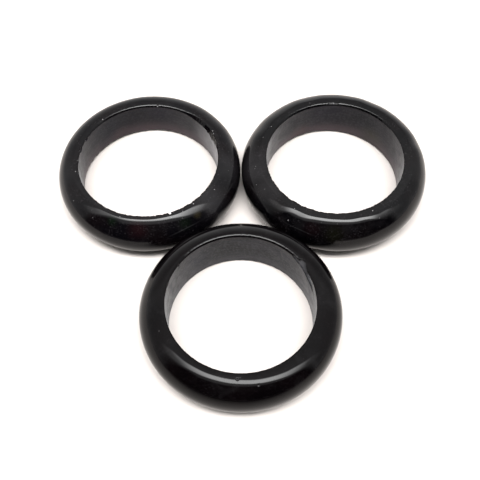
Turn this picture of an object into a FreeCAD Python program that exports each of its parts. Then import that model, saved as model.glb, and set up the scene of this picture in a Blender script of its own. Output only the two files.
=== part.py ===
import FreeCAD, Part
import math
import os

# Set of three plain band rings in polished black stone, laid flat side by side.
# Each ring is one turned and polished solid: a straight ground bore, a flat
# lapped land round each end of the bore, a small radius on each bore edge, and
# a domed outside that runs from land to land. The rings are loose: nothing
# joins them, and a small gap keeps each one clear of its neighbours.
# Millimetres, +Z up, rings standing on z = 0.

# ---- driving dimensions -------------------------------------------------
# Hand-cut rings differ a little, so each has its own bore, size and section.
# name: (bore radius, outer radius, width along the axis, radial width of the
#        land, angle of the dome to the land at the rim, fullness of the dome)
RINGS = {
    "ring_front": (8.73, 12.00, 6.30, 0.40, 6.0, 0.441),
    "ring_left": (9.04, 11.99, 5.71, 0.72, 13.5, 0.484),
    "ring_right": (8.85, 12.135, 6.11, 1.04, 16.0, 0.458),
}
# where each ring's axis stands before the set is centred on the origin (x, y)
AXES = {
    "ring_front": (0.008, -11.760),
    "ring_left": (-11.953, 9.167),
    "ring_right": (12.258, 9.147),
}
EDGE_R = 0.15      # radius on both bore edges
MIN_GAP = 0.08     # rings must stay at least this far apart


def centred_axes():
    """Axis positions with the middle of the set's box on x = 0, y = 0."""
    x_lo = min(AXES[n][0] - RINGS[n][1] for n in RINGS)
    x_hi = max(AXES[n][0] + RINGS[n][1] for n in RINGS)
    y_lo = min(AXES[n][1] - RINGS[n][1] for n in RINGS)
    y_hi = max(AXES[n][1] + RINGS[n][1] for n in RINGS)
    mx, my = (x_lo + x_hi) / 2, (y_lo + y_hi) / 2
    return {n: (AXES[n][0] - mx, AXES[n][1] - my) for n in RINGS}


def conic(start, corner, end, fullness):
    """Quarter of the dome: a conic that touches start-corner and corner-end."""
    curve = Part.BezierCurve()
    curve.setPoles([start, corner, end])
    curve.setWeight(2, fullness / (1 - fullness))
    return curve


def ring(bore_r, outer_r, width, land, rim_angle, fullness):
    """One ring on the z axis, standing on z = 0."""
    V = FreeCAD.Vector
    rim_r = bore_r + land
    drop = (outer_r - rim_r) * math.tan(math.radians(rim_angle))
    equator = V(outer_r, 0, width / 2)
    low_dome = conic(V(rim_r, 0, 0), V(outer_r, 0, drop), equator, fullness)
    high_dome = conic(equator, V(outer_r, 0, width - drop), V(rim_r, 0, width), fullness)
    e = EDGE_R
    q = e * (1 - math.sqrt(0.5))
    low_edge = Part.Arc(
        V(bore_r, 0, e), V(bore_r + q, 0, q), V(bore_r + e, 0, 0)
    )
    low_land = Part.LineSegment(V(bore_r + e, 0, 0), V(rim_r, 0, 0))
    high_land = Part.LineSegment(V(rim_r, 0, width), V(bore_r + e, 0, width))
    high_edge = Part.Arc(
        V(bore_r + e, 0, width), V(bore_r + q, 0, width - q), V(bore_r, 0, width - e)
    )
    bore = Part.LineSegment(V(bore_r, 0, width - e), V(bore_r, 0, e))
    curves = [low_edge, low_land, low_dome, high_dome, high_land, high_edge, bore]
    wire = Part.Wire([c.toShape() for c in curves])
    face = Part.Face(wire)
    return face.revolve(V(0, 0, 0), V(0, 0, 1), 360)


def main():
    os.makedirs("parts", exist_ok=True)
    axes = centred_axes()
    names = list(RINGS)
    for i, a in enumerate(names):
        for b in names[i + 1:]:
            d = math.hypot(axes[a][0] - axes[b][0], axes[a][1] - axes[b][1])
            gap = d - RINGS[a][1] - RINGS[b][1]
            print("gap %s - %s: %.3f mm" % (a, b, gap))
            assert gap >= MIN_GAP
    for name in names:
        bore_r, outer_r = RINGS[name][:2]
        solid = ring(*RINGS[name])
        if solid.ShapeType != "Solid":
            solid = Part.makeSolid(Part.Shell(solid.Faces))
        if solid.Volume < 0:
            solid.reverse()
        solid.translate(FreeCAD.Vector(axes[name][0], axes[name][1], 0))
        assert solid.isValid() and len(solid.Solids) == 1
        box = solid.BoundBox
        print(
            "%s: axis (%.4f, %.4f), wall %.2f, volume %.1f mm3, box x %.3f..%.3f y %.3f..%.3f z %.3f..%.3f"
            % (name, axes[name][0], axes[name][1], outer_r - bore_r, solid.Volume,
               box.XMin, box.XMax, box.YMin, box.YMax, box.ZMin, box.ZMax)
        )
        solid.exportStep("parts/%s.step" % name)


main()
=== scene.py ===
import bpy
import math
import numpy as np
from mathutils import Matrix, Vector


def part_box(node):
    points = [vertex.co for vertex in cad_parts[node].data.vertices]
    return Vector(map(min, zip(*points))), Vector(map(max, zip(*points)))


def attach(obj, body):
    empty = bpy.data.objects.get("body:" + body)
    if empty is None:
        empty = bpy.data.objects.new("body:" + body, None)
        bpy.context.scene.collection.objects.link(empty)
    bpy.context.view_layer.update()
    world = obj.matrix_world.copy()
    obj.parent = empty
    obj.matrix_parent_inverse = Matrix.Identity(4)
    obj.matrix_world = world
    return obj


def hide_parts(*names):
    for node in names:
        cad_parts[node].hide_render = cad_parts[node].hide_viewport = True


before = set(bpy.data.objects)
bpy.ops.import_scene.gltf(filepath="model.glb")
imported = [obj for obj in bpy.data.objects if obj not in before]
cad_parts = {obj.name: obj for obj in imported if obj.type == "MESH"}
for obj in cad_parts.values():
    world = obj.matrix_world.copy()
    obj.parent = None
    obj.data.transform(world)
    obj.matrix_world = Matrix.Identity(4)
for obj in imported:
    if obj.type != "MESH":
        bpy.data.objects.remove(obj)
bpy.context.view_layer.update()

MM = 0.001
rad = math.radians

# ------------------------------------------------------------------ rings
# Each ring is ground by hand, so its section changes a little round the ring.
# [mean, cosine part, sine part] of the azimuth: width h, flat land, angle of
# the dome at the land's rim (degrees), fullness of the dome. Millimetres.
# soft: how round the land's rim is. The bore's edges are broken by two narrow
# hand-made facets: face is the upper one as [tilt at the back, tilt elsewhere,
# its wander, width at the back, width elsewhere], flank the lower one as
# [radial size at the back, radial size elsewhere, tilt]. low: radial size and
# tilt of the steep facet at the bore's lower end. rag: how ragged the edge is
# away from the back. swell: places where an edge is wider, as (end, azimuth,
# spread in degrees, face x, flank x, flank tilt +). near: changes towards the
# ring's front side, as [bore radius, face x, flank x, flank tilt +]. under: how
# much fuller the lower half of the dome is at the front.
# local: places where the section itself differs, as (what, azimuth, spread,
# change). chips: scoops broken or worn out of the surface, as (azimuth, radius from the
# axis, height over the surface there, half sizes along the ring / radial /
# axial, turn in degrees).
RINGS = {
    "ring_front": dict(
        body="front_ring", ri=8.735, ro=11.995, seed=3,
        h=[6.140, -0.110, -0.098], land=[0.398, 0.035, 0.035], tilt=[6.0, -2.97, 2.02], full=[0.441, 0.038, -0.012],
        soft=0.075, face=[19.8, 20.0, 1.6, 0.16, 0.09], flank=[0.14, 0.08, 46.0], low=[0.07, 66.0], rag=0.16,
        swell=[("top", 205, 12, 1.5, 1.3, 0), ("low", 60, 25, 1.0, 1.5, 0)],
        near=[0.0, 1.0, 1.0, 0.0], under=0.0,
        local=[("land", -112, 10, 0.05)],
        chips=[
            (27.0, 8.60, -0.50, 2.00, 0.84, 0.50, 22),
            (39.5, 8.62, -0.06, 0.95, 0.30, 0.26, 12),
            (20.0, 8.66, -1.02, 1.10, 0.30, 0.30, 24),
            (90.7, 10.35, 0.05, 0.16, 0.10, 0.10, 0),
            (-92.3, 9.50, 0.07, 0.24, 0.20, 0.13, 0),
            (-90.6, 9.36, 0.04, 0.10, 0.10, 0.08, 0),
            (-78.7, 10.20, 0.075, 0.30, 0.09, 0.10, 8),
            (147.0, 8.70, 0.02, 0.22, 0.14, 0.16, 0),
            (166.0, 8.70, 0.04, 0.36, 0.13, 0.14, 0),
        ]),
    "ring_left": dict(
        body="left_ring", ri=9.045, ro=11.985, seed=11,
        h=[5.490, 0.025, -0.205], land=[0.717, 0.036, 0.162], tilt=[13.34, 0.535, -8.43], full=[0.484, 0.004, 0.033],
        soft=0.035, face=[25.0, 24.0, 1.6, 0.135, 0.08], flank=[0.13, 0.08, 48.0], low=[0.11, 70.0], rag=0.38,
        swell=[("top", 48, 10, 1.2, 2.2, 2), ("top", 24, 14, 1.0, 3.0, 24), ("low", 168, 24, 1.0, 2.0, 0), ("top", 176, 14, 1.2, 1.5, 0),
               ("top", 128, 20, 0.55, 1.2, 0)],
        near=[-0.08, 0.7, 1.6, -9.0], under=0.09,
        local=[("land", -88, 11, -0.075), ("tilt", -55, 12, 2.2), ("tilt", -114, 9, 4.0)],
        chips=[
            (-69.4, 9.00, 0.00, 0.18, 0.38, 0.62, 0),
            (-66.6, 9.02, 0.05, 0.34, 0.22, 0.17, 0),
            (-72.8, 9.02, 0.05, 0.26, 0.14, 0.13, 0),
            (-60.5, 9.02, 0.05, 0.42, 0.16, 0.16, 0),
            (-51.0, 9.02, 0.04, 0.46, 0.20, 0.17, 0),
            (-41.0, 9.02, 0.04, 0.30, 0.15, 0.15, 0),
            (-84.0, 9.03, 0.05, 0.50, 0.12, 0.12, 0),
            (-98.0, 9.03, 0.05, 0.50, 0.13, 0.12, 0),
            (-111.0, 9.03, 0.05, 0.40, 0.13, 0.13, 0),
            (-122.0, 9.02, 0.05, 0.45, 0.14, 0.14, 0),
            (85.6, 9.15, 0.03, 0.10, 0.34, 0.12, 0),
            (28.0, 9.22, 0.04, 0.10, 0.12, 0.10, 0),
            (26.5, 9.36, 0.04, 0.12, 0.10, 0.09, 0),
            (158.0, 9.02, 0.05, 0.30, 0.20, 0.20, 0),
            (170.0, 9.02, 0.04, 0.40, 0.24, 0.22, 0),
            (-178.0, 9.02, 0.04, 0.30, 0.22, 0.20, 0),
            (-166.0, 9.02, 0.05, 0.34, 0.20, 0.18, 0),
            (-156.0, 9.02, 0.05, 0.24, 0.18, 0.15, 0),
        ]),
    "ring_right": dict(
        body="right_ring", ri=8.855, ro=12.13, seed=23,
        h=[5.870, 0.198, -0.108], land=[1.046, 0.085, 0.061], tilt=[16.2, -0.81, -2.90], full=[0.458, 0.016, 0.014],
        soft=0.035, face=[25.0, 24.0, 3.0, 0.135, 0.08], flank=[0.15, 0.08, 48.0], low=[0.08, 70.0], rag=0.38,
        swell=[("top", 205, 28, 1.8, 1.3, 0), ("low", 120, 40, 1.0, 1.4, 0),
               ("top", 122, 20, 0.65, 1.2, 0), ("top", 58, 18, 0.65, 1.2, 0)],
        near=[-0.08, 0.7, 1.6, -9.0], under=0.02,
        local=[("land", -90, 13, -0.10), ("land", -115, 12, -0.035), ("land", -67, 8, 0.06)],
        chips=[
            (-122.0, 8.83, 0.05, 0.34, 0.22, 0.17, 0),
            (-133.0, 8.83, 0.05, 0.42, 0.16, 0.16, 0),
            (-145.0, 8.83, 0.05, 0.40, 0.18, 0.16, 0),
            (-157.0, 8.83, 0.05, 0.30, 0.15, 0.15, 0),
            (-108.0, 8.83, 0.05, 0.50, 0.13, 0.13, 0),
            (-93.0, 8.83, 0.05, 0.44, 0.13, 0.12, 0),
            (-78.0, 8.83, 0.05, 0.50, 0.13, 0.12, 0),
            (-62.0, 8.83, 0.04, 0.36, 0.14, 0.13, 0),
            (-47.0, 8.83, 0.04, 0.40, 0.14, 0.13, 0),
            (-9.0, 8.95, 0.04, 0.14, 0.20, 0.12, 0),
            (-24.0, 8.83, 0.04, 0.36, 0.14, 0.13, 0),
            (88.0, 9.03, 0.04, 0.75, 0.16, 0.09, 0),
        ]),
}

def waves(seed, count, lo, hi):
    """A smooth closed wobble of unit size, the same on every run."""
    rng = np.random.RandomState(seed)
    k = rng.randint(lo, hi + 1, count)
    a = rng.normal(0, 1, count)
    p = rng.uniform(0, 2 * np.pi, count)
    a /= math.sqrt((a ** 2).sum() / 2)
    return lambda ph: (a[:, None] * np.cos(k[:, None] * ph[None] + p[:, None])).sum(0)


def four(c, ph):
    return c[0] + c[1] * np.cos(ph) + c[2] * np.sin(ph)


def azimuths(chips, base=720):
    """Azimuth steps, closer together where there is a chip to carry."""
    fine = np.linspace(-np.pi, np.pi, 14401)
    dens = np.full(len(fine), base / (2 * np.pi))
    for a, r, z, st, sr, sz, turn in chips:
        half = math.atan2(st * 1.25, r)
        d = (fine - rad(a) + np.pi) % (2 * np.pi) - np.pi
        step = max(min(st, sr, sz) / 7.0, 0.012) / r
        dens = np.maximum(dens, np.where(np.abs(d) < half, 1 / step, 0))
    # let the density change gently
    w = np.hanning(61); w /= w.sum()
    dens = np.convolve(np.r_[dens[-31:-1], dens, dens[1:31]], w, "same")[30:-30]
    s = np.r_[0, np.cumsum((dens[1:] + dens[:-1]) / 2 * np.diff(fine))]
    n = int(math.ceil(s[-1]))
    return np.interp(np.arange(n) * s[-1] / n, s, fine)


def gauss1(pl, sigma, step):
    """Smooth a polyline held at even spacing, ends kept."""
    if sigma <= 0:
        return pl
    m = int(math.ceil(3 * sigma / step))
    k = np.exp(-0.5 * (np.arange(-m, m + 1) * step / sigma) ** 2)
    k /= k.sum()
    pad = np.vstack([2 * pl[:1] - pl[1:m + 1][::-1], pl, 2 * pl[-1:] - pl[-m - 1:-1][::-1]])
    return np.stack([np.convolve(pad[:, i], k, "valid") for i in (0, 1)], 1)


def quarter(ri, ro, h, land, tilt, full, edge, soft, marks):
    """Upper half of the outside: bore-edge facets, land, dome to the equator."""
    wa, ta, wb, tb = edge                       # radial size and tilt of each facet
    k = min(1.0, 0.92 * land / (wa + wb))
    wa, wb = wa * k, wb * k
    za, zb = wa * math.tan(rad(ta)), wb * math.tan(rad(tb))
    edge = np.array([(ri, h - za - zb - 0.03), (ri, h - za - zb), (ri + wb, h - za), (ri + wa + wb, h)])
    p0, p1, p2 = (ri + land, h), (ro, h - (ro - ri - land) * math.tan(rad(tilt))), (ro, h / 2)
    wt = full / (1 - full)
    t = np.linspace(0, 1, 90)
    a, b, c = (1 - t) ** 2, 2 * t * (1 - t) * wt, t ** 2
    w = a + b + c
    dome = np.stack([(a * p0[0] + b * p1[0] + c * p2[0]) / w, (a * p0[1] + b * p1[1] + c * p2[1]) / w], 1)
    pl = np.vstack([edge, dome])
    s = np.r_[0, np.cumsum(np.hypot(*np.diff(pl, axis=0).T))]
    step = 0.012
    n = int(round(s[-1] / step)) + 1
    g = np.linspace(0, s[-1], n)
    pl = np.stack([np.interp(g, s, pl[:, 0]), np.interp(g, s, pl[:, 1])], 1)
    fine = gauss1(pl, 0.018, g[1])
    sm = gauss1(pl, soft, g[1])
    # crisp at the bore edge, rounder at the rim, and the equator upright
    lim = wa / math.cos(rad(ta)) + wb / math.cos(rad(tb)) + 0.03
    keep = np.clip((g - lim) / 0.12, 0, 1) * np.clip((s[-1] - g) / 0.4, 0, 1)
    pl = fine + (sm - fine) * keep[:, None]
    pl[0] = ri, h - za - zb - 0.03
    pl[-1] = ro, h / 2
    m = marks * s[-1]
    return np.stack([np.interp(m, g, pl[:, 0]), np.interp(m, g, pl[:, 1])], 1)


# where the section's points sit between bore edge (0) and equator (1): close
# together on the edge rounding and the rim, further apart on the dome
_d = np.linspace(0, 1, 2001)
_w = 1.0 + 5.0 * np.exp(-(_d / 0.09) ** 2) + 1.8 * np.exp(-((_d - 0.17) / 0.09) ** 2)
_c = np.r_[0, np.cumsum((_w[1:] + _w[:-1]) / 2)]
MARKS = np.interp(np.linspace(0, _c[-1], 66), _c, _d)


def ring_mesh(name, p):
    ph = azimuths(p["chips"])
    na = len(ph)
    shape = {k: four(p[k], ph) for k in ("h", "land", "tilt", "full")}
    for what, az, spread, more in p["local"]:
        d = (np.degrees(ph) - az + 180) % 360 - 180
        shape[what] = shape[what] + more * np.exp(-(d / spread) ** 2)
    H, LA, TI, FU = (shape[k] for k in ("h", "land", "tilt", "full"))
    seed = p["seed"]
    wob_t, wob_l = waves(seed, 26, 3, 60)(ph), waves(seed + 1, 26, 3, 60)(ph)
    oval = waves(seed + 2, 5, 2, 5)(ph)
    back = np.clip((np.sin(ph) - 0.25) / 0.45, 0, 1)
    back = back * back * (3 - 2 * back)
    t0, t1, wander, w0, w1 = p["face"]
    f0, f1, ft = p["flank"]
    # facet sizes and tilts: width a, tilt a, width b, tilt b
    lowr, lowt = p["low"]
    rag = 0.03 + (p["rag"] - 0.03) * (1 - back)
    fine_t, fine_l = waves(seed + 8, 40, 40, 150)(ph), waves(seed + 9, 40, 40, 150)(ph)
    e = {"top": [(w1 + (w0 - w1) * back) * np.clip(1 + rag * (0.5 * wob_t + 0.5 * fine_t), 0.35, 1.8),
                 t1 + (t0 / np.maximum(np.sin(ph), 0.72) - t1) * back + wander * (0.35 * wob_l + 0.75 * fine_l),
                 (f1 + (f0 - f1) * back) * np.clip(1 + rag * (0.5 * wob_l + 0.6 * fine_l), 0.35, 1.8), np.full(na, ft)],
         "low": [np.full(na, 0.10), np.full(na, 24.0), lowr * (1 + 0.12 * wob_l), np.full(na, lowt)]}
    front = np.clip(-np.sin(ph), 0, 1) ** 1.5
    dr, na_, nb_, nt_ = p["near"]
    RI = p["ri"] + dr * front
    e["top"][0] = e["top"][0] * (1 + (na_ - 1) * front)
    e["top"][2] = e["top"][2] * (1 + (nb_ - 1) * front)
    e["top"][3] = e["top"][3] + nt_ * front
    for end, az, spread, ma, mb, more in p["swell"]:
        d = (np.degrees(ph) - az + 180) % 360 - 180
        g = np.exp(-(d / spread) ** 2)
        e[end][0] = e[end][0] * (1 + (ma - 1) * g)
        e[end][2] = e[end][2] * (1 + (mb - 1) * g)
        e[end][3] = e[end][3] + more * g
    land_t = LA * (1 + 0.03 * waves(seed + 3, 12, 3, 24)(ph)) - dr * front
    low_full = FU + p["under"] * front
    nb = 30
    rows = []
    for i in range(na):
        args = (RI[i], p["ro"], H[i])
        up = quarter(*args, land_t[i], TI[i], FU[i], [v[i] for v in e["top"]], p["soft"], MARKS)
        lo = quarter(*args, land_t[i], TI[i], low_full[i], [v[i] for v in e["low"]], p["soft"], MARKS)
        lo = lo[::-1][1:].copy()
        lo[:, 1] = H[i] - lo[:, 1]
        z = np.linspace(lo[-1, 1], up[0, 1], nb + 2)[1:-1]
        bore = np.stack([np.full(nb, RI[i]), z], 1)
        rows.append(np.vstack([up, lo, bore]))
    rows = np.array(rows)                       # azimuth x section x (r, z)
    ns = rows.shape[1]
    # slight out-of-round of the outside, inward only
    f = np.clip((rows[:, :, 0] - p["ri"] - 0.8) / 1.5, 0, 1)
    rows[:, :, 0] -= f * (0.004 * (oval - oval.min()))[:, None]
    # a ground bore is faintly wavy
    zz = rows[:, :, 1] / H[:, None]
    bore_mask = np.zeros(ns); bore_mask[2 * len(MARKS) - 1:] = 1
    rows[:, :, 0] += bore_mask[None] * 0.006 * (waves(seed + 5, 8, 5, 14)(ph)[:, None] * np.cos(3 * zz) + 0.4)
    C, S = np.cos(ph)[:, None], np.sin(ph)[:, None]
    co = np.stack([rows[:, :, 0] * C, rows[:, :, 0] * S, rows[:, :, 1]], -1)
    chip = np.zeros((na, ns))
    rng = np.random.RandomState(seed + 7)
    for a, r, z, st, sr, sz, turn in p["chips"]:
        t = np.array([-math.sin(rad(a)), math.cos(rad(a)), 0])
        n = np.array([math.cos(rad(a)), math.sin(rad(a)), 0])
        k = np.array([0, 0, 1.0])
        ct, stn = math.cos(rad(turn)), math.sin(rad(turn))
        u, w = ct * t + stn * k, -stn * t + ct * k
        ia = int(np.argmin(np.abs((ph - rad(a) + np.pi) % (2 * np.pi) - np.pi)))
        sec = rows[ia, :len(MARKS)]
        c = r * n + (np.interp(r, sec[:, 0], sec[:, 1]) + z) * k
        d = co - c
        q = np.stack([d @ u / st, d @ n / sr, d @ w / sz], -1)
        rr = np.linalg.norm(q, axis=-1)
        inside = rr < 1.0
        if not inside.any():
            continue
        # each point goes straight into the stone until it meets the scoop
        dig = (n - k) / math.sqrt(2) if r < p["ri"] + 0.25 else -k
        e3 = np.array([dig @ u / st, dig @ n / sr, dig @ w / sz])
        qe = q @ e3
        go = (-qe + np.sqrt(np.maximum(qe ** 2 - (e3 @ e3) * (rr ** 2 - 1), 0))) / (e3 @ e3)
        if st > 0.8:                            # shell ripples of a conchoidal break
            go = go * (1.0 - 0.06 * np.sin(9.0 * q[..., 0] + 5.0 * q[..., 2] + rng.uniform(0, 6.28)) ** 2)
        new = co + go[..., None] * dig
        # only ever into the stone: never above the land or into the hole
        nr = np.hypot(new[..., 0], new[..., 1])
        grow = np.maximum(1.0, RI[:, None] / nr)
        new[..., 0] *= grow
        new[..., 1] *= grow
        co[inside] = new[inside]
        chip[inside] = np.maximum(chip[inside], np.clip((1 - rr[inside]) * 6, 0, 1))
    top = H[:, None] + 1e-6
    co[:, :, 2] = np.minimum(co[:, :, 2], top)
    verts = (co * MM).reshape(-1, 3)
    i = np.arange(na)[:, None]
    j = np.arange(ns)[None, :]
    A = i * ns + j
    B = ((i + 1) % na) * ns + j
    Cc = ((i + 1) % na) * ns + (j + 1) % ns
    D = i * ns + (j + 1) % ns
    faces = np.stack([A, D, Cc, B], -1).reshape(-1, 4)
    me = bpy.data.meshes.new(name + "_body")
    me.vertices.add(len(verts))
    me.vertices.foreach_set("co", verts.astype(np.float32).ravel())
    me.loops.add(faces.size)
    me.loops.foreach_set("vertex_index", faces.astype(np.int32).ravel())
    me.polygons.add(len(faces))
    me.polygons.foreach_set("loop_start", (np.arange(len(faces)) * 4).astype(np.int32))
    me.polygons.foreach_set("use_smooth", np.ones(len(faces), bool))
    me.update(calc_edges=True)
    me.validate()
    at = me.attributes.new("chip", "FLOAT", "POINT")
    at.data.foreach_set("value", chip.astype(np.float32).ravel())
    # the straight bore wears the second material
    wall = np.arange(ns) >= 2 * len(MARKS) - 2
    me.polygons.foreach_set("material_index", np.tile(wall.astype(np.int32), na))
    return me


def on_top(p, az, r):
    """Point of the upper surface at an azimuth and radius, about the ring's axis."""
    a = np.array([rad(az)])
    h, la, ti, fu = (float(four(p[k], a)[0]) for k in ("h", "land", "tilt", "full"))
    q = quarter(p["ri"], p["ro"], h, la, ti, fu, [0.08, 24.0, 0.08, 48.0], p["soft"], np.linspace(0, 1, 400))
    return r * math.cos(a[0]), r * math.sin(a[0]), float(np.interp(r, q[:, 0], q[:, 1]))


# ------------------------------------------------------------------ shader help
class Net:
    """Small helper that writes arithmetic as shader nodes."""

    def __init__(self, tree):
        self.t = tree

    def _in(self, sock, v):
        if hasattr(v, "is_output"):
            self.t.links.new(v, sock)
        else:
            sock.default_value = v

    def op(self, name, a, b=None, c=None):
        n = self.t.nodes.new("ShaderNodeMath")
        n.operation = name
        self._in(n.inputs[0], a)
        if b is not None:
            self._in(n.inputs[1], b)
        if c is not None:
            self._in(n.inputs[2], c)
        return n.outputs[0]

    def add(self, a, b): return self.op("ADD", a, b)
    def sub(self, a, b): return self.op("SUBTRACT", a, b)
    def mul(self, a, b): return self.op("MULTIPLY", a, b)
    def div(self, a, b): return self.op("DIVIDE", a, b)

    def ramp(self, v, lo, hi, a=0.0, b=1.0, smooth=True):
        n = self.t.nodes.new("ShaderNodeMapRange")
        n.interpolation_type = "SMOOTHSTEP" if smooth else "LINEAR"
        n.clamp = True
        self._in(n.inputs["Value"], v)
        n.inputs["From Min"].default_value = lo
        n.inputs["From Max"].default_value = hi
        self._in(n.inputs["To Min"], a)
        self._in(n.inputs["To Max"], b)
        return n.outputs["Result"]

    def bell(self, v, centre, width):
        """exp(-((v-centre)/width)^2)"""
        d = self.div(self.sub(v, centre), width)
        return self.op("EXPONENT", self.mul(self.mul(d, d), -1.0))

    def noise(self, vec, scale, detail=2.0, rough=0.5, distort=0.0):
        n = self.t.nodes.new("ShaderNodeTexNoise")
        self.t.links.new(vec, n.inputs["Vector"])
        n.inputs["Scale"].default_value = scale
        n.inputs["Detail"].default_value = detail
        n.inputs["Roughness"].default_value = rough
        n.inputs["Distortion"].default_value = distort
        return n.outputs["Fac"]

    def mix_col(self, f, a, b):
        n = self.t.nodes.new("ShaderNodeMix")
        n.data_type = "RGBA"
        self._in(n.inputs["Factor"], f)
        for k, v in (("A", a), ("B", b)):
            sock = n.inputs[6] if k == "A" else n.inputs[7]
            if hasattr(v, "is_output"):
                self.t.links.new(v, sock)
            else:
                sock.default_value = (*v, 1.0)
        return n.outputs[2]



class Stone:
    """What the two black stone materials share: coordinates, noise, the shader."""

    def __init__(self, name, seed, gloss):
        self.m = bpy.data.materials.new(name)
        self.m.use_nodes = True
        self.t = self.m.node_tree
        self.bsdf = self.t.nodes["Principled BSDF"]
        self.bsdf.inputs["IOR"].default_value = 1.54
        self.bsdf.inputs["Specular IOR Level"].default_value = gloss
        self.N = Net(self.t)
        tc = self.t.nodes.new("ShaderNodeTexCoord")
        self.obj = tc.outputs["Object"]
        shift = self.t.nodes.new("ShaderNodeVectorMath")
        shift.operation = "ADD"
        self.t.links.new(self.obj, shift.inputs[0])
        shift.inputs[1].default_value = (seed * 0.37, seed * 0.11, seed * 0.23)
        self.vec = shift.outputs["Vector"]
        at = self.t.nodes.new("ShaderNodeAttribute")
        at.attribute_name = "chip"
        self.chip = at.outputs["Fac"]
        self.haze = self.N.noise(self.vec, 900.0, 3.0, 0.6)
        self.grit = self.N.noise(self.vec, 3000.0, 3.0, 0.7)
        self.cloud = self.N.noise(self.vec, 260.0, 2.0, 0.5)

    def near(self, x, y, z, r, inner=0.0):
        """1 close to a point given in mm, falling to 0 at distance r."""
        d = self.t.nodes.new("ShaderNodeVectorMath")
        d.operation = "DISTANCE"
        self.t.links.new(self.obj, d.inputs[0])
        d.inputs[1].default_value = (x * MM, y * MM, z * MM)
        return self.N.ramp(d.outputs["Value"], r * inner * MM, r * MM, 1.0, 0.0)

    def tint(self, col, tints_and_light):
        N = self.N
        for x, y, z, r, c in tints_and_light:
            col = N.mix_col(N.mul(self.near(x, y, z, r), N.ramp(self.cloud, 0.30, 0.60, 0.45, 1.0)), col, c)
        return col

    def broken(self, col, breaks):
        """The large fresh breaks, paler than the ground stone."""
        N = self.N
        for x, y, z, r, c in breaks:
            col = N.mix_col(N.mul(N.mul(self.near(x, y, z, r, 0.5), self.chip), N.ramp(self.haze, 0.30, 0.70, 0.65, 1.0)), col, c)
        return col

    def bump(self, height, distance, strength, below=None):
        b = self.t.nodes.new("ShaderNodeBump")
        b.inputs["Strength"].default_value = strength
        b.inputs["Distance"].default_value = distance
        self.t.links.new(height, b.inputs["Height"])
        if below is not None:
            self.t.links.new(below, b.inputs["Normal"])
        return b.outputs["Normal"]

    def finish(self, col, rough, normal):
        for v, sock in ((col, "Base Color"), (rough, "Roughness"), (normal, "Normal")):
            self.t.links.new(v, self.bsdf.inputs[sock])
        return self.m


def polished(name, seed, dust_and_glint_spots, tints_and_light, breaks, polish, dust, smudge, fleck, cold, warm, gloss):
    """The outside: mirror polish, grains of dust, faint colour in the stone, a painted glint, and red-brown patches of
    painted light shining through the stone.
    """
    S = Stone(name, seed, gloss)
    N, t, vec = S.N, S.t, S.vec
    fine = N.noise(vec, 5200.0, 2.0, 0.6)
    coarse = N.noise(vec, 520.0, 2.0, 0.5)
    speck = N.mul(N.ramp(fine, 0.54, 0.70), N.ramp(coarse, 0.36, 0.66, 0.3, 1.0))
    marks = None
    for scale, gate, size in ((1250.0, 0.35, 0.11), (2300.0, 0.40, 0.15)):
        vo = t.nodes.new("ShaderNodeTexVoronoi")
        t.links.new(vec, vo.inputs["Vector"])
        vo.inputs["Scale"].default_value = scale
        cs = t.nodes.new("ShaderNodeSeparateColor")
        t.links.new(vo.outputs["Color"], cs.inputs[0])
        dots = N.mul(N.ramp(vo.outputs["Distance"], size * 0.4, size, 1.0, 0.0), N.ramp(cs.outputs["Red"], gate, 1.0, smooth=False))
        dots = N.mul(dots, N.op("POWER", cs.outputs["Green"], 3.0))
        marks = dots if marks is None else N.op("MAXIMUM", marks, dots)
    marks = N.mul(marks, min(1.0, dust * 1.6))
    # the listed spots: grains of dust, and on the left ring one painted glint
    for x, y, z, r in dust_and_glint_spots:
        marks = N.op("MAXIMUM", marks, S.near(x, y, z, r, 0.45))
    # near black with clouds of violet and red brown, a few tints, pale grey patches on the land, and red-brown patches
    # of painted light shining through the stone
    col = S.tint(N.mix_col(N.ramp(S.cloud, 0.40, 0.66), cold, warm), tints_and_light)
    dull = N.mul(N.ramp(N.noise(vec, 330.0, 4.0, 0.65, 0.6), 0.50, 0.72), smudge)
    col = N.mix_col(dull, col, (0.014, 0.013, 0.014))
    col = N.mix_col(N.mul(speck, dust), col, (0.060, 0.055, 0.061))
    col = N.mix_col(N.mul(marks, 0.7), col, (0.30, 0.29, 0.29))
    # fresh breaks are a little greyer, with pale crushed grains
    col = N.mix_col(N.mul(S.chip, 0.30), col, (0.020, 0.018, 0.020))
    col = N.mix_col(N.mul(N.mul(S.chip, fleck), N.ramp(S.grit, 0.50, 0.66)), col, (0.50, 0.49, 0.50))
    col = S.broken(col, breaks)
    rough = N.ramp(S.haze, 0.30, 0.75, polish * 0.7, polish * 1.5)
    rough = N.add(N.add(rough, N.mul(S.chip, 0.02)), N.add(N.mul(dull, 0.05), N.mul(marks, 0.5)))
    # slow waves left by the polishing wheel
    return S.finish(col, rough, S.bump(N.noise(vec, 210.0, 1.0, 0.4), 0.00006, 0.35))


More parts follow.
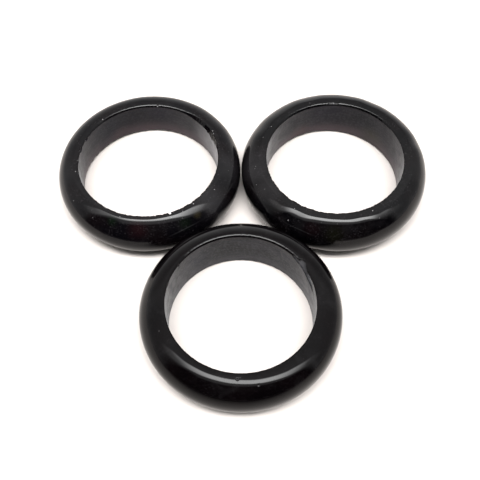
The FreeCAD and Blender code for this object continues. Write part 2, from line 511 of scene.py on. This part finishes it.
def ground(name, seed, tints_and_light, breaks, fleck, gloss, sheen, tooth, mottle, upper, lower):
    """The bore: satin from the grinding, finely lined, paler towards its lower end, with some patches of painted
    reflection and painted shade.
    """
    S = Stone(name, seed, gloss)
    N, t, vec = S.N, S.t, S.vec
    S.bsdf.inputs["Sheen Weight"].default_value = sheen
    S.bsdf.inputs["Sheen Roughness"].default_value = 0.32
    S.bsdf.inputs["Sheen Tint"].default_value = (0.92, 0.96, 1.0, 1)
    S.bsdf.inputs["Specular Tint"].default_value = (0.90, 0.92, 1.0, 1)

    def stretched(x, z, scale, detail, rough):
        st = t.nodes.new("ShaderNodeMapping")
        t.links.new(vec, st.inputs["Vector"])
        st.inputs["Scale"].default_value = (x, x, z)
        return N.noise(st.outputs["Vector"], scale, detail, rough)

    sp = t.nodes.new("ShaderNodeSeparateXYZ")
    t.links.new(S.obj, sp.inputs[0])
    low = N.ramp(N.mul(sp.outputs["Z"], 1000.0), 4.2, 0.1)
    col = N.mix_col(N.op("POWER", low, 2.4), upper, lower)
    # clouds, then grinding lines that run round the bore, then grain
    # the listed patches: colour in the stone, with some painted reflection and painted shade
    col = S.tint(col, tints_and_light)
    col = N.mix_col(N.mul(N.ramp(N.noise(vec, 380.0, 3.0, 0.6), 0.44, 0.66), mottle), col, (0.0260, 0.0235, 0.0305))
    col = N.mix_col(N.mul(N.ramp(stretched(0.12, 1.0, 800.0, 3.0, 0.6), 0.48, 0.62), mottle), col, (0.0010, 0.0008, 0.0014))
    col = N.mix_col(N.ramp(S.grit, 0.46, 0.62, 0.0, tooth), col, (0.0500, 0.0485, 0.0530))
    col = N.mix_col(N.mul(N.mul(S.chip, fleck), N.ramp(S.grit, 0.50, 0.66)), col, (0.50, 0.49, 0.50))
    col = S.broken(col, breaks)
    rough = N.ramp(S.haze, 0.30, 0.75, 0.28, 0.45)
    rough = N.add(rough, N.mul(S.chip, -0.12))
    lines = stretched(0.22, 5.0, 900.0, 3.0, 0.65)
    wave = S.bump(N.noise(vec, 210.0, 1.0, 0.4), 0.00006, 0.35)
    return S.finish(col, rough, S.bump(N.add(N.mul(lines, 0.55), N.mul(S.grit, 0.45)), 0.000028, 0.8, wave))


# grains of dust that stand out, and on the left ring at 29.0 a painted glint on the chip there: (azimuth, radius, half
# size)
DUST_AND_GLINT_SPOTS = {
    "ring_front": [(91.0, 10.33, 0.06), (-158.0, 9.9, 0.04)],
    "ring_left": [(-49.8, 9.45, 0.09), (29.0, 9.46, 0.085), (-167.2, 9.42, 0.075), (-29.7, 10.0, 0.065), (134.3, 9.36, 0.09),
                  (-107.7, 9.57, 0.06), (-55.2, 10.7, 0.05), (-126.2, 10.85, 0.05), (-146.0, 11.0, 0.045), (-60.0, 9.63, 0.06)],
    "ring_right": [(-124.5, 11.2, 0.08), (-64.7, 9.45, 0.085), (-159.0, 10.95, 0.06), (-124.6, 9.8, 0.05), (147.6, 9.6, 0.05),
                   (-62.8, 10.6, 0.05), (-172.9, 10.35, 0.05), (-171.3, 10.5, 0.045), (160.0, 9.83, 0.045), (-152.0, 10.4, 0.04)],
}
# patches of colour: (azimuth, radius, half size, colour); the red-brown ones on the flanks, left ring at -94 and right
# ring at -109, are painted light shining through the thin stone, the large grey ones make the land paler, and the rest
# are tints in the stone
TINTS_AND_PAINTED_LIGHT = {
    "ring_front": [],
    "ring_left": [(-38.0, 10.7, 3.4, (0.0095, 0.0088, 0.0098)), (-8.0, 10.6, 3.4, (0.0065, 0.0060, 0.0068)),
                  (-94.0, 10.74, 1.9, (0.0054, 0.0015, 0.0021)), (-52.0, 10.73, 0.75, (0.0200, 0.0165, 0.0080)),
                  (-112.0, 10.25, 1.0, (0.0014, 0.0036, 0.0016)), (-62.0, 10.89, 1.3, (0.0012, 0.0032, 0.0012))],
    "ring_right": [(-109.0, 11.12, 1.7, (0.0030, 0.0012, 0.0016)), (-94.0, 11.4, 1.8, (0.0022, 0.0022, 0.0011)),
                   (-174.0, 10.7, 3.8, (0.0105, 0.0094, 0.0104)), (-150.0, 10.4, 2.8, (0.0090, 0.0080, 0.0086))],
}
# fresh breaks, both materials: (azimuth, radius, height, half size, colour)
BREAKS = {
    "ring_front": [(29.0, 8.70, 5.50, 2.9, (0.056, 0.055, 0.058))],
    "ring_left": [],
    "ring_right": [],
}
# patches in the bore: (azimuth, height, half size, colour); on the left ring the dark one at 132 is painted shade and
# the pale one at 24 a painted reflection, the pale ones at 26 on the front ring and at 152 on the right ring are
# painted reflections, and the others are colour patches
BORE_TINTS_AND_PAINTED_LIGHT = {
    "ring_front": [(128.0, 3.6, 3.4, (0.0030, 0.0034, 0.0095)), (50.0, 3.4, 3.2, (0.0040, 0.0040, 0.0100)), (26.0, 1.6, 3.0, (0.056, 0.055, 0.059))],
    "ring_left": [(132.0, 3.6, 4.6, (0.0008, 0.0010, 0.0045)), (120.0, 0.9, 2.2, (0.040, 0.024, 0.026)), (84.0, 4.2, 3.0, (0.0034, 0.0018, 0.0070)),
                  (24.0, 2.8, 5.0, (0.165, 0.160, 0.172))],
    "ring_right": [(48.0, 1.6, 2.6, (0.030, 0.028, 0.014)), (116.0, 0.8, 2.4, (0.050, 0.029, 0.031)), (92.0, 4.6, 3.2, (0.0030, 0.0012, 0.0085)),
                   (58.0, 4.6, 2.8, (0.0010, 0.0012, 0.0030)), (152.0, 2.6, 3.0, (0.018, 0.017, 0.019))],
}
OUTSIDE = {
    "ring_front": dict(polish=0.028, dust=0.05, smudge=0.22, fleck=0.03, cold=(0.0006, 0.0003, 0.0005), warm=(0.0011, 0.0006, 0.0008), gloss=0.112),
    "ring_left": dict(polish=0.024, dust=0.15, smudge=0.16, fleck=0.45, cold=(0.0009, 0.0007, 0.0012), warm=(0.0018, 0.0011, 0.0014), gloss=0.160),
    "ring_right": dict(polish=0.024, dust=0.14, smudge=0.16, fleck=0.20, cold=(0.0004, 0.0003, 0.0006), warm=(0.0011, 0.0006, 0.0008), gloss=0.160),
}
BORE = {
    "ring_front": dict(fleck=0.03, gloss=0.096, sheen=0.14, tooth=0.34, mottle=0.50, upper=(0.0015, 0.0013, 0.0024), lower=(0.032, 0.0305, 0.0345)),
    "ring_left": dict(fleck=0.30, gloss=0.122, sheen=0.14, tooth=0.14, mottle=0.16, upper=(0.0016, 0.0006, 0.0028), lower=(0.058, 0.039, 0.044)),
    "ring_right": dict(fleck=0.20, gloss=0.122, sheen=0.14, tooth=0.20, mottle=0.18, upper=(0.0016, 0.0006, 0.0030), lower=(0.060, 0.042, 0.047)),
}
for node, p in RINGS.items():
    lo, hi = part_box(node)
    me = ring_mesh(node, p)
    side = node.split("_")[1]
    dust_and_glint_spots = [(*on_top(p, az, r), size) for az, r, size in DUST_AND_GLINT_SPOTS[node]]
    tints_and_light = [(*on_top(p, az, r), size, c) for az, r, size, c in TINTS_AND_PAINTED_LIGHT[node]]
    bore_tints_and_light = [(p["ri"] * math.cos(rad(az)), p["ri"] * math.sin(rad(az)), z, size, c) for az, z, size, c in BORE_TINTS_AND_PAINTED_LIGHT[node]]
    breaks = [(r * math.cos(rad(az)), r * math.sin(rad(az)), z, size, c) for az, r, z, size, c in BREAKS[node]]
    me.materials.append(polished("black_stone_" + side, p["seed"], dust_and_glint_spots, tints_and_light, breaks, **OUTSIDE[node]))
    me.materials.append(ground("black_stone_bore_" + side, p["seed"], bore_tints_and_light, breaks, **BORE[node]))
    ob = bpy.data.objects.new(node + "_body", me)
    bpy.context.scene.collection.objects.link(ob)
    ob.location = ((lo.x + hi.x) / 2, (lo.y + hi.y) / 2, 0.0)
    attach(ob, p["body"])
    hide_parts(node)

# ------------------------------------------------------------------ stage
floor_me = bpy.data.meshes.new("floor")
s = 1.5
floor_me.from_pydata([(-s, -s, 0), (s, -s, 0), (s, s, 0), (-s, s, 0)], [], [(0, 1, 2, 3)])
floor = bpy.data.objects.new("floor", floor_me)
bpy.context.scene.collection.objects.link(floor)
fm = bpy.data.materials.new("white_floor")
fm.use_nodes = True
fb = fm.node_tree.nodes["Principled BSDF"]
fb.inputs["Base Color"].default_value = (0.600, 0.560, 0.532, 1)
fb.inputs["Roughness"].default_value = 0.9
fb.inputs["Specular IOR Level"].default_value = 0.0
floor_me.materials.append(fm)

# world: a white tent with an overhead strip, and a dark opening on the camera's side
world = bpy.data.worlds.new("studio")
bpy.context.scene.world = world
world.use_nodes = True
wt = world.node_tree
N = Net(wt)
bg = wt.nodes["Background"]
tc = wt.nodes.new("ShaderNodeTexCoord")
sep = wt.nodes.new("ShaderNodeSeparateXYZ")
wt.links.new(tc.outputs["Generated"], sep.inputs["Vector"])
dx, dy, dz = sep.outputs["X"], sep.outputs["Y"], sep.outputs["Z"]
hyp = N.op("MAXIMUM", N.op("SQRT", N.add(N.mul(dx, dx), N.mul(dy, dy))), 1e-4)
zen = N.mul(N.op("ARCTAN2", hyp, dz), 180.0 / math.pi)
X = N.mul(N.div(dx, hyp), zen)      # degrees from the zenith towards +x
Y = N.mul(N.div(dy, hyp), zen)      # degrees from the zenith towards +y
# tent: even walls, brighter round the strip and a little along the floor
halo = N.op("EXPONENT", N.mul(N.add(N.mul(N.mul(X, X), 1 / 1800.0), N.mul(N.mul(N.add(Y, 8.0), N.add(Y, 8.0)), 1 / 1000.0)), -1.0))
tent = N.add(N.add(0.86, N.mul(halo, 1.1)), N.mul(N.bell(dz, 0.0, 0.14), 0.35))
# the back of the tent is a little brighter, in a low panel and along the table
back = N.mul(N.bell(X, 0.0, 60.0), N.add(N.mul(N.bell(Y, 33.0, 7.0), 0.58), N.mul(N.bell(Y, 80.0, 20.0), 0.9)))
tent = N.mul(tent, N.sub(1.0, N.mul(N.ramp(Y, 37.0, 45.0), N.mul(N.bell(X, 0.0, 60.0), 0.20))))
tent = N.add(tent, back)
# dark opening round the camera
fa = N.mul(N.op("ARCTAN2", N.mul(dy, -1.0), dz), 180.0 / math.pi)
az = N.mul(N.op("ARCTAN2", N.op("ABSOLUTE", dx), N.mul(dy, -1.0)), 180.0 / math.pi)
left = N.op("LESS_THAN", dx, 0.0)
low = N.mul(left, N.ramp(az, 46.0, 62.0, 0.0, 5.5))
edge = N.add(N.mul(N.ramp(az, 65.0, 76.0, 1.0, 0.0), 0.72), N.mul(N.ramp(az, 78.0, 90.0, 1.0, 0.0), 0.28))
edge = N.add(N.mul(left, edge), N.mul(N.sub(1.0, left), N.ramp(az, 60.0, 69.0, 1.0, 0.0)))
dark = N.mul(N.ramp(N.add(fa, low), 23.0, 29.0), edge)
cloth = N.add(0.06, N.mul(N.mul(N.bell(X, 0.0, 24.0), N.bell(Y, -38.0, 12.0)), 0.12))
tent = N.add(N.mul(tent, N.sub(1.0, dark)), N.mul(cloth, dark))
# strip
v = N.op("ABSOLUTE", N.add(N.add(Y, 8.9), N.mul(X, 0.06)))
start = N.add(N.mul(N.ramp(X, -41.0, -7.0), 0.93), N.mul(N.ramp(X, -60.0, -38.0), 0.07))
end = N.add(N.mul(N.ramp(X, 9.0, 43.0, 1.0, 0.0), 0.96), N.mul(N.ramp(X, 34.0, 66.0, 1.0, 0.0), 0.04))
band = N.mul(N.ramp(v, 4.5, 9.0, 1.0, 0.0), N.mul(start, end))
level = N.add(tent, N.mul(band, 27.4))
lp = wt.nodes.new("ShaderNodeLightPath")
mixc = wt.nodes.new("ShaderNodeMix"); mixc.data_type = "FLOAT"
wt.links.new(lp.outputs["Is Camera Ray"], mixc.inputs["Factor"])
wt.links.new(level, mixc.inputs["A"])
mixc.inputs["B"].default_value = 1.0
bg.inputs["Color"].default_value = (1, 1, 1, 1)
wt.links.new(mixc.outputs["Result"], bg.inputs["Strength"])

# painted shade: a sheet on the front of the table whose colour darkens from the floor's to near black, standing for the
# shade on the table in front; it is there only as a reflection: it lights nothing, shades nothing and is not in the
# picture itself
cm = bpy.data.materials.new("painted_front_shade")
cm.use_nodes = True
ct = cm.node_tree
C = Net(ct)
cb = ct.nodes["Principled BSDF"]
cb.inputs["Roughness"].default_value = 0.9
cb.inputs["Specular IOR Level"].default_value = 0.0
cc = ct.nodes.new("ShaderNodeTexCoord")
cs = ct.nodes.new("ShaderNodeSeparateXYZ")
ct.links.new(cc.outputs["Object"], cs.inputs[0])
away = C.mul(cs.outputs["Y"], -1000.0)      # mm in front of the origin
C_RAMP = [(24.0, 44.0, 0.0, 0.55), (40.0, 66.0, 0.0, 0.40)]
shade_amount = None
for lo_, hi_, a_, b_ in C_RAMP:
    r_ = C.ramp(away, lo_, hi_, a_, b_)
    shade_amount = r_ if shade_amount is None else C.add(shade_amount, r_)
# painted shade: the floor's colour darkening to near black further in front
ct.links.new(C.mix_col(shade_amount, (0.600, 0.560, 0.532), (0.030, 0.030, 0.030)), cb.inputs["Base Color"])
shade_sheet_me = bpy.data.meshes.new("front_shade_sheet")
shade_sheet_me.from_pydata([(-0.4, -0.6, 0.0001), (0.4, -0.6, 0.0001), (0.4, -0.0235, 0.0001), (-0.4, -0.0235, 0.0001)], [], [(0, 1, 2, 3)])
shade_sheet_ob = bpy.data.objects.new("front_shade_sheet", shade_sheet_me)
bpy.context.scene.collection.objects.link(shade_sheet_ob)
shade_sheet_me.materials.append(cm)
shade_sheet_ob.visible_camera = False
shade_sheet_ob.visible_diffuse = False
shade_sheet_ob.visible_shadow = False

# ------------------------------------------------------------------ camera
ELEV, DIST, ROLL, FPX = math.radians(58.960), 0.09735, math.radians(-0.153), 750.75
TARGET = Vector((-0.000225, 0.001239, 0.0))
cam_pos = TARGET + DIST * Vector((0, -math.cos(ELEV), math.sin(ELEV)))
fwd = (TARGET - cam_pos).normalized()
right = Vector((1, 0, 0))
up = right.cross(fwd)
r2 = math.cos(ROLL) * right + math.sin(ROLL) * up
u2 = -math.sin(ROLL) * right + math.cos(ROLL) * up
cam = bpy.data.cameras.new("camera")
cam.sensor_width = 36.0
cam.lens = FPX / 480.0 * 36.0
cam.clip_start = 0.002
cam.clip_end = 20.0
cam.shift_x = -0.5 / 480.0
cam.shift_y = 0.5 / 480.0
cam_ob = bpy.data.objects.new("camera", cam)
m = Matrix((r2, u2, -fwd)).transposed().to_4x4()
m.translation = cam_pos
cam_ob.matrix_world = m
bpy.context.scene.collection.objects.link(cam_ob)
bpy.context.scene.camera = cam_ob

bpy.context.scene.view_settings.view_transform = "Standard"
